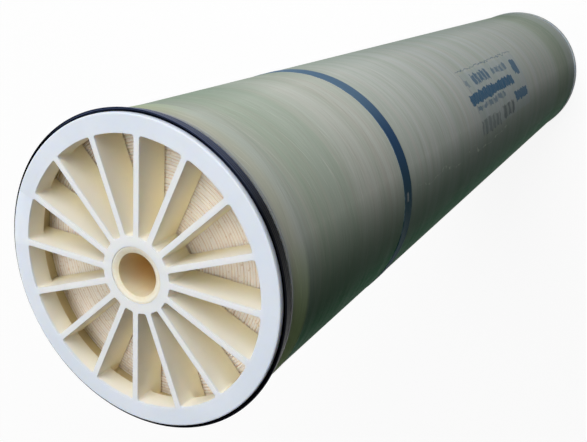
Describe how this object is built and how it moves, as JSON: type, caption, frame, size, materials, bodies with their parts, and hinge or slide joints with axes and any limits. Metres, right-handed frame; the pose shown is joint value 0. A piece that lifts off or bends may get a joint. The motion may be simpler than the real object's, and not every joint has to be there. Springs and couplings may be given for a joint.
{
  "type": "ro membrane element",
  "caption": "Spiral-wound reverse osmosis element: a membrane roll on a perforated centre tube in a wound fibreglass shell, with spoked end caps and a lip seal.",
  "frame": {"origin": "centre of the brine end cap's flat front face, which the element stands on", "axes": "+Z along the centre tube, from the brine end to the feed end; a spoke of each end cap lies along +X"},
  "size_m": [0.2062, 0.2062, 1.016],
  "materials": {
    "tube": "cream moulded plastic, satin",
    "roll": "layered membrane sheet and spacer net, matt",
    "cap": "white moulded plastic, satin",
    "seal": "black rubber, smooth",
    "shell": "filament-wound fibreglass in clear resin, green grey",
    "band": "navy tape under resin"
  },
  "bodies": {
    "root": {"permeate_tube": "tube", "membrane_roll": "roll", "feed_end_cap": "cap", "brine_end_cap": "cap", "brine_seal": "seal", "fibreglass_shell": "shell", "blue_band": "band"}
  },
  "joints": []
}
